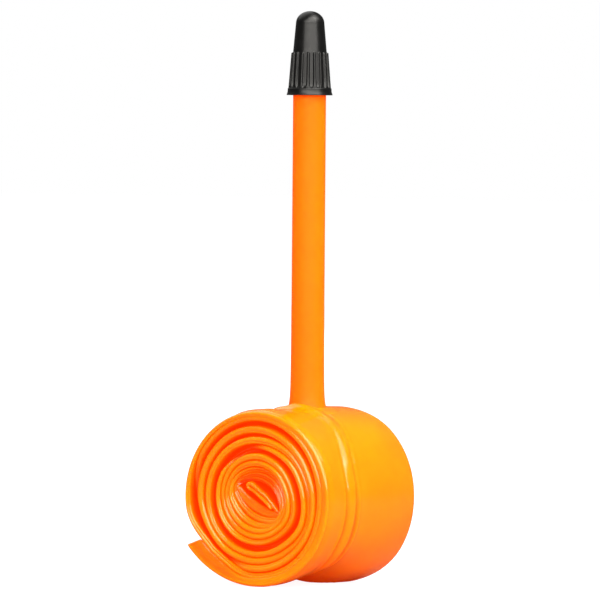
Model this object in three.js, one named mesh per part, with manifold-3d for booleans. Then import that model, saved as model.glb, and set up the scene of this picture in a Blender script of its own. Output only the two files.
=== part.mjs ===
// A bicycle inner tube of thermoplastic film, squeezed flat and rolled up for storage, with its long valve standing
// on the roll under a dust cap.
//
// Frame, in millimetres: +Z up along the valve, +Y along the roll's axis from its open spiral face to its back, and
// the origin on the flattened patch that the roll rests on, straight below the valve. Angles round the roll are in
// degrees from +X towards +Z, as seen from the spiral face.

import * as THREE from "three";
import { mergeVertices } from "three/addons/utils/BufferGeometryUtils.js";
import Module from "manifold-3d";

const wasm = await Module();
wasm.setup();

// ---------------------------------------------------------------- driving dimensions

// The rolled tube. The flattened ring lies as two legs side by side that lap over each other; the two are rolled
// up together from one bend of the ring to the other.
const ROLL_RADIUS = 16.05; // middle of the outermost lap, where it passes under the roll
const FRONT_Y = -16.4;
const BACK_Y = 12.4;
const FRONT_LEG_BACK_Y = 3.4; // the front leg ends here, under the rear leg
const REAR_LEG_FRONT_Y = -7.8; // the rear leg starts here, over the front leg
const LEG_EDGE_SLOPE = 0.4; // a leg's edge rises over this width
const LAP_INNER = 0.36; // the two legs together, from the middle of the lap inwards
const LAP_OUTER = 0.4; // and outwards
const LEG_STEP = 0.2; // how far one leg alone is thinner than the two
const SEGMENTS_PER_TURN = 24;
const FLAT_PRESS = 0.165; // how far the roll's own weight presses its underside flat

// The middle of the roll: the first lap follows a flat lens shape, and the laps round out to a circle.
const LENS_TILT = -30;
const LENS_HALF_LENGTH = 4.85;
const LENS_RISE_ABOVE = 2.0;
const LENS_RISE_BELOW = 1.6;
const LAP_SPREAD = 1.12; // over 1, the outer laps lie further apart than the inner ones

// The roll is wound clockwise, outwards. Turns count from the middle of the lens' upper side.
const FIRST_NORMAL = 90 + LENS_TILT;
const TURNS_TO_FLOOR = 9 + (FIRST_NORMAL + 90) / 360;
const HALF_SEGMENT = 0.5 / SEGMENTS_PER_TURN;
const WRAPS_START = HALF_SEGMENT;
const WRAPS_END = TURNS_TO_FLOOR + HALF_SEGMENT; // so that one whole segment lies flat on the floor
const TAIL_TIP_TURNS = TURNS_TO_FLOOR + 63.4 / 360;
const TAIL_LIFT_START = TURNS_TO_FLOOR - 5 / 360;
const TAIL_LIFT = 1.95; // how far the loose end stands off the roll

// Before the last half turn the outermost lap bulges off the laps below it.
const BULGE = 1.16;
const BULGE_BEFORE_FLOOR = 0.25;
const BULGE_LENGTH = 0.71;
const BULGE_SKEW = 1.35;

// The inner end is folded back inside the lens: its middle line in the lens' own axes, from the end to the first lap.
const INNER_FOLD = [
  [2.8, 0.1],
  [1.2, 0.4],
  [-0.8, 0.65],
  [-2.2, 0.82],
  [-2.85, 1.3],
  [-2.3, 1.8],
  [-0.9, 2.0],
];
const FOLD_STEPS = 16;
const TAIL_STEPS = 4;

const ROLL_CENTRE_Z = ROLL_RADIUS - FLAT_PRESS + LAP_OUTER;

// The valve, all of it turned about the Z axis.
const PATCH_RADIUS = 7;
const PATCH_THICKNESS = 0.4;
const FILM_GAP = 0.06; // clearance between welded or seated pieces
const PATCH_SEGMENTS = 5;

const STEM_RADIUS = 3.1; // 6.2 mm across, for a rim's 6.5 mm valve hole
const STEM_FOOT_RADIUS = 4.6;
const STEM_FOOT_TOP_Z = 37;
const STEM_TOP_Z = 93;
const STEM_BORE = 1.9;
const STEM_SOCKET_RADIUS = 2.5;
const STEM_SOCKET_Z = 80;

const INSERT_RADIUS = 2.44;
const INSERT_BORE = 2.0;
const INSERT_COLLAR_RADIUS = 2.95;
const INSERT_TOP_Z = 93.9;

const HEAD_BOTTOM_Z = 94.4;
const HEAD_TOP_Z = 99.7;
const HEAD_THREAD_MAJOR = 2.6;
const HEAD_THREAD_MINOR = 2.28;
const HEAD_THREAD_PITCH = 1.06;
const HEAD_FLAT_HEIGHT = 1.9;
const HEAD_ACROSS_FLATS = 4.3;
const CORE_THREAD_RADIUS = 1.85;
const CORE_THREAD_BOTTOM_Z = 84;
const CORE_BARREL_RADIUS = 1.55;
const CORE_BOTTOM_Z = 72;
const CORE_BORE = 1.05;

const PIN_TOP_Z = 105.2;
const PIN_THREAD_RADIUS = 0.9;
const PIN_THREAD_BOTTOM_Z = 97.5;
const PIN_ROD_RADIUS = 0.6;
const PIN_RIVET_RADIUS = 0.95;
const PIN_BOTTOM_Z = 68;
const PIN_RIVET_HEIGHT = 0.5;

const SEAL_RADIUS = 1.5;
const SEAL_HEIGHT = 1.9;
const CUP_RADIUS = 1.4;
const CUP_HEIGHT = 1.3;
const SEAT_GAP = 0.1;

const NUT_RADIUS = 2.0;
const NUT_GROOVE = 0.2;
const NUT_TEETH = 16;
const NUT_BOTTOM_Z = 99.85;
const NUT_HEIGHT = 2.6;
const NUT_BORE = 1.02;

const CAP_BOTTOM_Z = 91.8;
const CAP_TOP_Z = 107.6;
const CAP_LIP_RADIUS = 4.3;
const CAP_COLLAR_RADIUS = 4.2;
const CAP_COLLAR_TOP_Z = 93.15;
const CAP_RIB_COUNT = 18;
const CAP_RIB_TOP_Z = 99.9;
const CAP_RIB_BOTTOM_RADIUS = 3.95;
const CAP_RIB_TOP_RADIUS = 3.47;
const CAP_RIB_WIDTH = 0.5;
const CAP_ROOT_BOTTOM_RADIUS = 3.62;
const CAP_SHOULDER_RADIUS = 3.16;
const CAP_DOME_Z = 105.6;
const CAP_DOME_RADIUS = 2.63;
const CAP_MOUTH_RADIUS = 3.35;
const CAP_BORE_RADIUS = 2.8;
const CAP_NUT_BORE_RADIUS = 2.3;
const CAP_PIN_BORE_RADIUS = 1.25;

// ---------------------------------------------------------------- materials

const filmOrange = new THREE.MeshStandardMaterial({ color: 0xff8a12, roughness: 0.3 });
const stemOrange = new THREE.MeshStandardMaterial({ color: 0xff820d, roughness: 0.45 });
const capBlack = new THREE.MeshStandardMaterial({ color: 0x1a1a19, roughness: 0.5 });
const nickel = new THREE.MeshStandardMaterial({ color: 0xc9c5b8, roughness: 0.28, metalness: 1 });
const brass = new THREE.MeshStandardMaterial({ color: 0xc39a4a, roughness: 0.3, metalness: 1 });
const sealRubber = new THREE.MeshStandardMaterial({ color: 0x161616, roughness: 0.8 });
const gasketWhite = new THREE.MeshStandardMaterial({ color: 0xe8e6df, roughness: 0.5 });

// ---------------------------------------------------------------- helpers

const radians = THREE.MathUtils.degToRad;

function mesh(name, geometry, material) {
  const made = new THREE.Mesh(geometry, material);
  made.name = name;
  return made;
}

// A closed profile of [radius, z] points, or one from axis to axis, turned about the Z axis.
function turned(profile, segments = 40) {
  const points = profile.map(([radius, z]) => new THREE.Vector2(radius, z));
  return new THREE.LatheGeometry(points, segments).rotateX(Math.PI / 2);
}

// A ring from the inner to the outer radius, between two heights.
function ring(inner, outer, bottom, top, segments = 32) {
  return turned(
    [
      [inner, bottom],
      [outer, bottom],
      [outer, top],
      [inner, top],
      [inner, bottom],
    ],
    segments,
  );
}

function solidOf(geometry) {
  const bare = geometry.index ? geometry.toNonIndexed() : geometry.clone();
  bare.deleteAttribute("normal");
  bare.deleteAttribute("uv");
  const merged = mergeVertices(bare, 1e-4);
  return new wasm.Manifold(
    new wasm.Mesh({
      numProp: 3,
      vertProperties: new Float32Array(merged.attributes.position.array),
      triVerts: new Uint32Array(merged.index.array),
    }),
  );
}

function geometryOf(solid) {
  const { vertProperties, triVerts } = solid.getMesh();
  const geometry = new THREE.BufferGeometry();
  geometry.setAttribute("position", new THREE.BufferAttribute(vertProperties, 3));
  geometry.setIndex(new THREE.BufferAttribute(triVerts, 1));
  return geometry;
}

// ---------------------------------------------------------------- the rolled tube

// From the lens' own axes to the part's X and Z, about the roll's centre.
function fromLens(along, across) {
  const tilt = radians(LENS_TILT);
  return [
    along * Math.cos(tilt) - across * Math.sin(tilt),
    along * Math.sin(tilt) + across * Math.cos(tilt),
  ];
}

// The point of the lens outline whose outward normal points at an angle. The lens is two arcs that meet in two tips.
function lensPoint(normal) {
  const angle = radians(normal - LENS_TILT);
  const above = Math.sin(angle) > 0;
  const rise = above ? LENS_RISE_ABOVE : LENS_RISE_BELOW;
  const radius = (LENS_HALF_LENGTH ** 2 + rise ** 2) / (2 * rise);
  const along = radius * Math.cos(angle);
  if (Math.abs(along) >= LENS_HALF_LENGTH) return fromLens(Math.sign(along) * LENS_HALF_LENGTH, 0);
  const side = above ? 1 : -1;
  return fromLens(along, side * (rise - radius) + radius * Math.sin(angle));
}

// How far the outermost lap stands off its place, by turns before the floor.
function bulge(turnsBeforeFloor) {
  const share = (turnsBeforeFloor - (1 - BULGE_BEFORE_FLOOR - BULGE_LENGTH)) / BULGE_LENGTH;
  if (share <= 0 || share >= 1) return 0;
  return BULGE * Math.sin(Math.PI * (1 - share) ** BULGE_SKEW) ** 2;
}

// A point of the lap's middle line in X and Z, by turns from the start.
function wrapPoint(turns) {
  const normal = FIRST_NORMAL - 360 * turns;
  const share = Math.min(1, turns / TURNS_TO_FLOOR) ** LAP_SPREAD;
  const lift = TAIL_LIFT * Math.max(0, (turns - TAIL_LIFT_START) / (TAIL_TIP_TURNS - TAIL_LIFT_START)) ** 2;
  const reach = share * ROLL_RADIUS + lift + bulge(turns - TURNS_TO_FLOOR + 1);
  const [lensX, lensZ] = lensPoint(normal);
  const x = (1 - share) * lensX + reach * Math.cos(radians(normal));
  const z = (1 - share) * lensZ + reach * Math.sin(radians(normal));
  return [x, Math.max(z, FLAT_PRESS - ROLL_RADIUS)];
}

// The middle line of the rolled pair of legs, from the inner fold to the tip of the tail. Equal steps of its
// parameter are equal turns round the roll, so that the facets of neighbouring laps lie side by side.
class RollPath extends THREE.Curve {
  constructor() {
    super();
    this.wrapSteps = Math.round((WRAPS_END - WRAPS_START) * SEGMENTS_PER_TURN);
    this.steps = FOLD_STEPS + this.wrapSteps + TAIL_STEPS;
    const foldPoints = INNER_FOLD.map(([along, across]) => fromLens(along, across));
    foldPoints.push(wrapPoint(WRAPS_START), wrapPoint(WRAPS_START + HALF_SEGMENT));
    this.fold = new THREE.CatmullRomCurve3(foldPoints.map(([x, z]) => new THREE.Vector3(x, 0, z)));
    this.foldShare = 1 - 1 / (foldPoints.length - 1);
  }

  getPoint(share) {
    const step = share * this.steps;
    const point = new THREE.Vector3();
    if (step < FOLD_STEPS) {
      this.fold.getPoint((Math.max(0, step) / FOLD_STEPS) * this.foldShare, point);
    } else {
      const wrap = Math.min(step - FOLD_STEPS, this.wrapSteps);
      const tail = Math.max(0, step - FOLD_STEPS - this.wrapSteps);
      const turns = WRAPS_START + wrap / SEGMENTS_PER_TURN + (tail / TAIL_STEPS) * (TAIL_TIP_TURNS - WRAPS_END);
      const [x, z] = wrapPoint(turns);
      point.set(x, 0, z);
    }
    point.z += ROLL_CENTRE_Z;
    return point;
  }

  getPointAt(share) {
    return this.getPoint(share);
  }

  getTangentAt(share) {
    return this.getTangent(share);
  }
}

// A stretch of another path, with its own steps.
class PathStretch extends THREE.Curve {
  constructor(path, firstStep, steps) {
    super();
    Object.assign(this, { path, firstStep, steps });
  }

  getPointAt(share) {
    return this.path.getPoint((this.firstStep + share * this.steps) / this.path.steps);
  }

  getTangentAt(share) {
    return this.path.getTangent((this.firstStep + share * this.steps) / this.path.steps);
  }
}

// A section of [y, outwards] points carried along a path round the roll.
function sweptRoundRoll(section, path) {
  const shape = new THREE.Shape(section.map(([y, outwards]) => new THREE.Vector2(-y, -outwards)));
  return new THREE.ExtrudeGeometry(shape, { steps: path.steps, extrudePath: path, bevelEnabled: false });
}

function slab(fromY, toY, inner, outer) {
  return [
    [fromY, inner],
    [toY, inner],
    [toY, outer],
    [fromY, outer],
  ];
}

const rollPath = new RollPath();

function makeTube() {
  const lapped = [
    [FRONT_Y, -LAP_INNER],
    [FRONT_LEG_BACK_Y - LEG_EDGE_SLOPE, -LAP_INNER],
    [FRONT_LEG_BACK_Y, LEG_STEP - LAP_INNER],
    [BACK_Y, LEG_STEP - LAP_INNER],
    [BACK_Y, LAP_OUTER],
    [REAR_LEG_FRONT_Y, LAP_OUTER],
    [REAR_LEG_FRONT_Y - LEG_EDGE_SLOPE, LAP_OUTER - LEG_STEP],
    [FRONT_Y, LAP_OUTER - LEG_STEP],
  ];
  return mesh("tube", sweptRoundRoll(lapped, rollPath), filmOrange);
}

// The stretch of the outermost lap that passes under the valve, on the tube's own steps.
function pathUnderValve(segments) {
  const turnsToTop = TURNS_TO_FLOOR - 0.5;
  const middle = FOLD_STEPS + (turnsToTop - WRAPS_START) * SEGMENTS_PER_TURN;
  return new PathStretch(rollPath, Math.round(middle - segments / 2), segments);
}

// ---------------------------------------------------------------- the valve

function makePatch() {
  const inner = LAP_OUTER + FILM_GAP;
  const sheet = slab(-PATCH_RADIUS - 1, PATCH_RADIUS + 1, inner, inner + PATCH_THICKNESS);
  const disc = turned([
    [0, ROLL_CENTRE_Z],
    [PATCH_RADIUS, ROLL_CENTRE_Z],
    [PATCH_RADIUS, STEM_FOOT_TOP_Z],
    [0, STEM_FOOT_TOP_Z],
  ]);
  const airHole = turned(
    [
      [0, ROLL_CENTRE_Z],
      [STEM_BORE, ROLL_CENTRE_Z],
      [STEM_BORE, STEM_FOOT_TOP_Z],
      [0, STEM_FOOT_TOP_Z],
    ],
    24,
  );
  const round = solidOf(sweptRoundRoll(sheet, pathUnderValve(PATCH_SEGMENTS)))
    .intersect(solidOf(disc))
    .subtract(solidOf(airHole));
  return mesh("valve_patch", geometryOf(round), filmOrange);
}

function makeStem() {
  const footBottom = ROLL_CENTRE_Z + ROLL_RADIUS - 2;
  const flare = [0, 30, 60, 90].map((angle) => [
    STEM_FOOT_RADIUS - (STEM_FOOT_RADIUS - STEM_RADIUS) * Math.sin(radians(angle)),
    STEM_FOOT_TOP_Z - (STEM_FOOT_TOP_Z - footBottom - 1.6) * Math.cos(radians(angle)),
  ]);
  const stem = turned([
    [STEM_BORE, footBottom],
    [STEM_FOOT_RADIUS, footBottom],
    ...flare,
    [STEM_RADIUS, STEM_TOP_Z - 0.25],
    [STEM_RADIUS - 0.25, STEM_TOP_Z],
    [STEM_SOCKET_RADIUS, STEM_TOP_Z],
    [STEM_SOCKET_RADIUS, STEM_SOCKET_Z],
    [STEM_BORE, STEM_SOCKET_Z],
    [STEM_BORE, footBottom],
  ]);
  const patchTop = LAP_OUTER + 2 * FILM_GAP + PATCH_THICKNESS;
  const roll = slab(-3 * PATCH_RADIUS, 3 * PATCH_RADIUS, -4, patchTop);
  const standing = solidOf(stem).subtract(solidOf(sweptRoundRoll(roll, pathUnderValve(PATCH_SEGMENTS))));
  return mesh("valve_stem", geometryOf(standing), stemOrange);
}

function makeInsert() {
  const sleeve = turned(
    [
      [INSERT_BORE, STEM_SOCKET_Z + FILM_GAP],
      [INSERT_RADIUS, STEM_SOCKET_Z + FILM_GAP],
      [INSERT_RADIUS, STEM_TOP_Z + FILM_GAP],
      [INSERT_COLLAR_RADIUS, STEM_TOP_Z + FILM_GAP],
      [INSERT_COLLAR_RADIUS, INSERT_TOP_Z - 0.2],
      [INSERT_COLLAR_RADIUS - 0.2, INSERT_TOP_Z],
      [INSERT_BORE, INSERT_TOP_Z],
      [INSERT_BORE, STEM_SOCKET_Z + FILM_GAP],
    ],
    32,
  );
  return mesh("stem_insert", sleeve, nickel);
}

// Thread crests and roots as rings, from the bottom up.
function threadRings(major, minor, bottom, top, pitch) {
  const rings = [];
  for (let z = bottom; z + pitch <= top; z += pitch) {
    rings.push([minor, z], [major, z + 0.35 * pitch], [major, z + 0.65 * pitch], [minor, z + pitch]);
  }
  return rings.filter(([radius], i) => i === 0 || radius !== minor || rings[i - 1][0] !== minor);
}

function makeCoreBody() {
  const thread = threadRings(
    HEAD_THREAD_MAJOR,
    HEAD_THREAD_MINOR,
    HEAD_BOTTOM_Z,
    HEAD_TOP_Z - 0.2,
    HEAD_THREAD_PITCH,
  );
  const turnedCore = turned(
    [
      [CORE_BORE, CORE_BOTTOM_Z],
      [CORE_BARREL_RADIUS - 0.25, CORE_BOTTOM_Z],
      [CORE_BARREL_RADIUS, CORE_BOTTOM_Z + 0.5],
      [CORE_BARREL_RADIUS, CORE_THREAD_BOTTOM_Z],
      [CORE_THREAD_RADIUS, CORE_THREAD_BOTTOM_Z + 0.3],
      [CORE_THREAD_RADIUS, HEAD_BOTTOM_Z],
      ...thread,
      [HEAD_THREAD_MINOR, HEAD_TOP_Z],
      [CORE_BORE, HEAD_TOP_Z],
      [CORE_BORE, CORE_BOTTOM_Z],
    ],
    32,
  );
  let core = solidOf(turnedCore);
  const cut = new THREE.BoxGeometry(2, 8, HEAD_FLAT_HEIGHT + 1);
  for (const side of [-1, 1]) {
    const place = new THREE.Vector3(
      side * (HEAD_ACROSS_FLATS / 2 + 1),
      0,
      HEAD_TOP_Z + 0.5 - HEAD_FLAT_HEIGHT / 2,
    );
    core = core.subtract(solidOf(cut.clone().translate(...place)));
  }
  return mesh("core_body", geometryOf(core), brass);
}

function makeCoreGasket() {
  const gasket = ring(
    CORE_THREAD_RADIUS + FILM_GAP,
    INSERT_COLLAR_RADIUS - 0.4,
    INSERT_TOP_Z + FILM_GAP,
    HEAD_BOTTOM_Z - FILM_GAP,
  );
  return mesh("core_gasket", gasket, gasketWhite);
}

function makePin() {
  const pin = turned(
    [
      [0, PIN_BOTTOM_Z],
      [PIN_RIVET_RADIUS - 0.2, PIN_BOTTOM_Z],
      [PIN_RIVET_RADIUS, PIN_BOTTOM_Z + 0.2],
      [PIN_RIVET_RADIUS, PIN_BOTTOM_Z + PIN_RIVET_HEIGHT],
      [PIN_ROD_RADIUS, PIN_BOTTOM_Z + PIN_RIVET_HEIGHT],
      [PIN_ROD_RADIUS, PIN_THREAD_BOTTOM_Z],
      [PIN_THREAD_RADIUS, PIN_THREAD_BOTTOM_Z + 0.3],
      [PIN_THREAD_RADIUS, PIN_TOP_Z - 0.35],
      [PIN_ROD_RADIUS, PIN_TOP_Z],
      [0, PIN_TOP_Z],
    ],
    20,
  );
  return mesh("valve_pin", pin, brass);
}

function makePinSeal() {
  const top = CORE_BOTTOM_Z - SEAT_GAP;
  const seal = turned(
    [
      [PIN_ROD_RADIUS + FILM_GAP, top - SEAL_HEIGHT],
      [SEAL_RADIUS, top - SEAL_HEIGHT],
      [SEAL_RADIUS, top - 0.8],
      [CORE_BORE, top],
      [PIN_ROD_RADIUS + FILM_GAP, top],
      [PIN_ROD_RADIUS + FILM_GAP, top - SEAL_HEIGHT],
    ],
    24,
  );
  return mesh("pin_seal", seal, sealRubber);
}

function makeSealCup() {
  const bottom = PIN_BOTTOM_Z + PIN_RIVET_HEIGHT + FILM_GAP;
  const cup = ring(PIN_ROD_RADIUS + FILM_GAP, CUP_RADIUS, bottom, bottom + CUP_HEIGHT, 24);
  return mesh("seal_cup", cup, brass);
}

function makeLockNut() {
  const outline = new THREE.Shape();
  for (let i = 0; i < 2 * NUT_TEETH; i += 1) {
    const radius = i % 2 ? NUT_RADIUS - NUT_GROOVE : NUT_RADIUS;
    const angle = (i * Math.PI) / NUT_TEETH;
    outline[i ? "lineTo" : "moveTo"](radius * Math.cos(angle), radius * Math.sin(angle));
  }
  outline.closePath();
  outline.holes.push(new THREE.Path().absarc(0, 0, NUT_BORE, 0, 2 * Math.PI));
  const nut = new THREE.ExtrudeGeometry(outline, { depth: NUT_HEIGHT, bevelEnabled: false, curveSegments: 10 });
  return mesh("lock_nut", nut.translate(0, 0, NUT_BOTTOM_Z), brass);
}

// ---------------------------------------------------------------- the dust cap

function capDome(radius, bottom, height) {
  return [15, 35, 55, 75].map((angle) => [
    radius * Math.cos(radians(angle)),
    bottom + height * Math.sin(radians(angle)),
  ]);
}

function makeCapRib(index) {
  const root = CAP_SHOULDER_RADIUS - 0.12;
  const side = new THREE.Shape([
    new THREE.Vector2(root, CAP_COLLAR_TOP_Z - 0.3),
    new THREE.Vector2(CAP_RIB_BOTTOM_RADIUS, CAP_COLLAR_TOP_Z - 0.3),
    new THREE.Vector2(CAP_RIB_TOP_RADIUS, CAP_RIB_TOP_Z - 0.25),
    new THREE.Vector2(CAP_RIB_TOP_RADIUS - 0.2, CAP_RIB_TOP_Z),
    new THREE.Vector2(root, CAP_RIB_TOP_Z),
  ]);
  const rib = new THREE.ExtrudeGeometry(side, { depth: CAP_RIB_WIDTH, bevelEnabled: false });
  rib.translate(0, 0, -CAP_RIB_WIDTH / 2).rotateX(Math.PI / 2);
  return rib.rotateZ((2 * Math.PI * index) / CAP_RIB_COUNT);
}

function makeDustCap() {
  const outer = turned([
    [0, CAP_BOTTOM_Z],
    [CAP_LIP_RADIUS, CAP_BOTTOM_Z],
    [CAP_LIP_RADIUS, CAP_BOTTOM_Z + 0.2],
    [CAP_COLLAR_RADIUS, CAP_BOTTOM_Z + 0.35],
    [CAP_COLLAR_RADIUS, CAP_COLLAR_TOP_Z],
    [CAP_ROOT_BOTTOM_RADIUS, CAP_COLLAR_TOP_Z],
    [CAP_SHOULDER_RADIUS, CAP_RIB_TOP_Z],
    [CAP_DOME_RADIUS, CAP_DOME_Z],
    ...capDome(CAP_DOME_RADIUS, CAP_DOME_Z, CAP_TOP_Z - CAP_DOME_Z),
    [0, CAP_TOP_Z],
  ]);
  const cavity = turned(
    [
      [0, CAP_BOTTOM_Z - 1],
      [CAP_MOUTH_RADIUS, CAP_BOTTOM_Z - 1],
      [CAP_MOUTH_RADIUS, STEM_TOP_Z + 1.1],
      [CAP_BORE_RADIUS, STEM_TOP_Z + 1.4],
      [CAP_BORE_RADIUS, HEAD_TOP_Z + 0.1],
      [CAP_NUT_BORE_RADIUS, HEAD_TOP_Z + 0.6],
      [CAP_NUT_BORE_RADIUS, NUT_BOTTOM_Z + NUT_HEIGHT + 0.3],
      [CAP_PIN_BORE_RADIUS, PIN_TOP_Z - 0.9],
      [CAP_PIN_BORE_RADIUS, PIN_TOP_Z + 0.4],
      [0, PIN_TOP_Z + 0.9],
    ],
    32,
  );
  let cap = solidOf(outer);
  for (let i = 0; i < CAP_RIB_COUNT; i += 1) cap = cap.add(solidOf(makeCapRib(i)));
  return mesh("dust_cap", geometryOf(cap.subtract(solidOf(cavity))), capBlack);
}

// ---------------------------------------------------------------- the whole object

const innerTube = new THREE.Group();
innerTube.add(
  makeTube(),
  makePatch(),
  makeStem(),
  makeInsert(),
  makeCoreBody(),
  makeCoreGasket(),
  makePin(),
  makePinSeal(),
  makeSealCup(),
  makeLockNut(),
  makeDustCap(),
);

export default innerTube;
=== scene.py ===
"""The looks of a rolled-up bicycle inner tube with its valve and dust cap.

Lengths of the object are in millimetres in the CAD frame and become metres when a mesh is made: +Z up along
the valve, +Y from the roll's open spiral face to its back. Angles round the roll are from +X towards +Z, seen
from the spiral face. A place along the rolled strand is given in turns, which grow outwards and clockwise.
"""

import math

import bmesh
import bpy
import numpy as np
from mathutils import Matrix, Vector


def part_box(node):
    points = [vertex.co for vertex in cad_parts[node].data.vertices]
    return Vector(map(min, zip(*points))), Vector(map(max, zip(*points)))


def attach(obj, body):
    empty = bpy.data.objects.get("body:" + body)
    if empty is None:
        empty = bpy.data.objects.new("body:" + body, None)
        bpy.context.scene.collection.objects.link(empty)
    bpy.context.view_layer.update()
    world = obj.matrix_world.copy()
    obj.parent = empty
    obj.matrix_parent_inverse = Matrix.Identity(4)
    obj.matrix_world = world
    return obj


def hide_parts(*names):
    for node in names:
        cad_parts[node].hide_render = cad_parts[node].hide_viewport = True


MM = 0.001
TAU = 2 * math.pi

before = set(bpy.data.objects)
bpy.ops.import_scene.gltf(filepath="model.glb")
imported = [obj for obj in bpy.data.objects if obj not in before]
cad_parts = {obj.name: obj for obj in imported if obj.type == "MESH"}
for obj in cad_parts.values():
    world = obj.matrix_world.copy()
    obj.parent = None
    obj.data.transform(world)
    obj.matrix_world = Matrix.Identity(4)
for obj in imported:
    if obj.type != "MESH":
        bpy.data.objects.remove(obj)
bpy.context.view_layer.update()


def cad_span(node, axis):
    """A CAD node's lowest and highest place along an axis, in millimetres."""
    low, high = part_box(node)
    return getattr(low, axis) / MM, getattr(high, axis) / MM


# ---------------------------------------------------------------- the roll's extent

FRONT_Y, BACK_Y = cad_span("tube", "y")
ROLL_LENGTH = BACK_Y - FRONT_Y
ROLL_CENTRE_Z = 16.3
FLOOR_RADIUS = ROLL_CENTRE_Z  # from the roll's middle down to what it rests on

# ---------------------------------------------------------------- the strand's path round the roll

FIRST_NORMAL = 60.0  # where turn 0 points
LENS_TILT = -30.0
LENS_HALF_LENGTH = 5.2
LENS_RISE_ABOVE = 2.65
LENS_RISE_BELOW = 1.6
LENS_MEAN_RISE = 2.4
START_TURN = 0.27
TOP_TURN = 10.917  # where the outermost lap passes over the top
FLOOR_TURN = 11 + (FIRST_NORMAL + 90) / 360
TAIL_TIP_TURN = FLOOR_TURN + 61.5 / 360
TAIL_LIFT = 2.0
TURN_STEP = 1 / 150
TONGUE_POINTS = 100
ROOM_IN_TONGUE = 0.75
ROOM_OUTSIDE = 1.1  # for the outermost lap, which has no lap outside it


def smooth(value, low, high):
    """0 below low, 1 above high, and an even curve between."""
    share = np.clip((value - low) / (high - low), 0, 1)
    return share * share * (3 - 2 * share)


def window(value, low, high, ramp):
    """1 between low and high, with soft ramps outside."""
    return smooth(value, low - ramp, low) * (1 - smooth(value, high, high + ramp))


def bump(value, middle, width):
    """1 at the middle, falling off softly on both sides."""
    return np.exp(-(((value - middle) / width) ** 2))


def lap_reach(turn):
    """How far the strand's middle line lies from the roll's middle across the lens."""
    return 2.2 + 1.09 * turn + 1.2 * (turn / 11) ** 5


def lens_point(angle):
    """The point of the lens, a pair of arcs that meet in two tips, where its outward normal has an angle."""
    tilt = math.radians(LENS_TILT)
    local = angle - tilt
    above = np.sin(local) > 0
    rise = np.where(above, LENS_RISE_ABOVE, LENS_RISE_BELOW)
    radius = (LENS_HALF_LENGTH**2 + rise**2) / (2 * rise)
    along = np.clip(radius * np.cos(local), -LENS_HALF_LENGTH, LENS_HALF_LENGTH)
    on_arc = np.abs(radius * np.cos(local)) < LENS_HALF_LENGTH
    side = np.where(above, 1.0, -1.0)
    across = np.where(on_arc, side * (rise - radius) + radius * np.sin(local), 0.0)
    return np.stack(
        [
            along * math.cos(tilt) - across * math.sin(tilt),
            along * math.sin(tilt) + across * math.cos(tilt),
        ],
        axis=-1,
    )


def lap_point(turn):
    """A point of the strand's middle line in X and Z about the roll's middle."""
    angle = np.radians(FIRST_NORMAL - 360 * turn)
    outwards = np.stack([np.cos(angle), np.sin(angle)], axis=-1)
    lens_share = 1 / (1 + (turn / 2.1) ** 2.2)
    reach = lap_reach(turn) - LENS_MEAN_RISE * lens_share
    # towards the upper left the middle laps lie further apart
    off_upper_left = (np.degrees(angle) + 205) % 360 - 180
    reach = reach + 0.55 * window(turn, 5.0, 8.3, 1.5) * bump(off_upper_left, 0, 28)
    # and there the last three bulge outwards, one after the other
    reach = reach + 0.7 * smooth(turn, 8.56, 8.7) * (1 - smooth(turn, 8.82, 9.05))
    reach = reach + 1.75 * smooth(turn, 9.56, 9.77) * (1 - smooth(turn, 9.82, 10.22))
    reach = reach + 0.95 * smooth(turn, 10.4, 10.58) * (1 - smooth(turn, 10.78, 11.2))
    reach = reach - 0.3 * smooth(turn, 11.1, 11.4)
    # where the sunk lap starts and ends, over the top, its neighbours close in on it
    reach = reach + 0.25 * bump(turn, 5.92, 0.12) + 0.3 * bump(turn, 4.93, 0.13)
    reach = reach - 0.45 * bump(turn, 6.92, 0.12) - 0.2 * bump(turn, 7.92, 0.12)
    # and on the right they leave it more room
    reach = reach + 0.35 * window(turn, 7.09, 7.22, 0.1) + 0.2 * window(turn, 8.05, 8.22, 0.1)
    # small unevenness of a roll wound by hand
    reach = reach + 0.05 * np.sin(TAU * 1.7 * turn + 0.6) + 0.04 * np.sin(TAU * 2.9 * turn + 2.0)
    point = lens_share[..., None] * lens_point(angle) + reach[..., None] * outwards
    shift = window(turn, 4.5, 8.6, 2.5)[..., None]
    point = point + shift * np.array([-0.4, 0.15])
    tail = np.maximum(0.0, (turn - FLOOR_TURN - 0.005) / (TAIL_TIP_TURN - FLOOR_TURN))
    point = point + (TAIL_LIFT * tail**1.8)[..., None] * outwards
    lowest = -FLOOR_RADIUS + 0.52  # half the strand's thickness above the floor
    point[..., 1] = np.maximum(point[..., 1], lowest)
    return point


def spline(points, count):
    """A smooth curve through points, by Catmull-Rom, with evenly spaced parameters."""
    pts = np.asarray(points, float)
    pts = np.vstack([2 * pts[0] - pts[1], pts, 2 * pts[-1] - pts[-2]])
    share = np.linspace(0, len(pts) - 3 - 1e-9, count)
    i = share.astype(int)
    t = (share - i)[:, None]
    p0, p1, p2, p3 = (pts[i + k] for k in range(4))
    squared, cubed = 2 * p0 - 5 * p1 + 4 * p2 - p3, 3 * p1 - p0 - 3 * p2 + p3
    return 0.5 * (2 * p1 + (p2 - p0) * t + squared * t**2 + cubed * t**3)


# The inner end: folded back on itself inside the lens, in a hairpin that starts and ends at the right tip.
TONGUE = [
    (3.05, -1.65),
    (1.9, -0.6),
    (0.3, 0.55),
    (-0.9, 1.45),
    (-1.7, 1.85),
    (-2.3, 2.2),
    (-2.35, 2.8),
    (-1.75, 2.95),
    (-1.2, 2.6),
    (-0.05, 1.8),
    (1.4, 0.75),
    (2.7, -0.5),
    (3.6, -1.55),
    (4.15, -2.15),
]


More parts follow.
